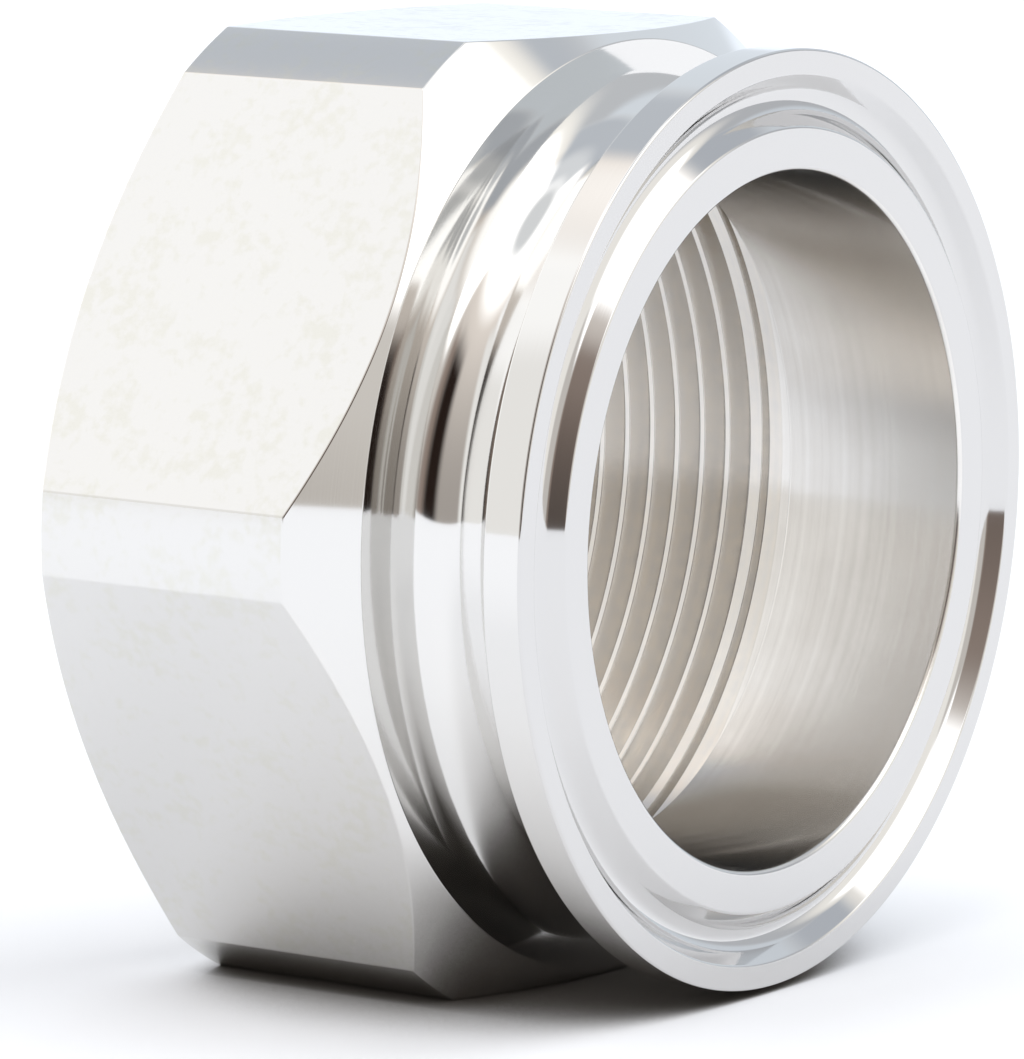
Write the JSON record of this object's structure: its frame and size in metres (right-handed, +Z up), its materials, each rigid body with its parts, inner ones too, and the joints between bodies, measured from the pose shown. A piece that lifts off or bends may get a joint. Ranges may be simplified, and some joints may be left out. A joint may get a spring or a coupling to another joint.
{
  "type": "sanitary clamp threaded adapter",
  "caption": "Turned stainless adapter: a sanitary clamp flange with a gasket groove on a short neck, a hexagonal body lying on a flat, and a tapered internal pipe thread.",
  "frame": {"origin": "centre of the clamp flange's sealing face, on the bore axis", "axes": "+X out of the flange along the bore axis, +Z up and square to the hexagon's top flat, +Y level through a corner of the hexagon"},
  "size_m": [0.038, 0.072, 0.065],
  "materials": {
    "turned_stainless": "turned and lightly polished"
  },
  "bodies": {
    "root": {"adapter_body": "turned_stainless"}
  },
  "joints": []
}
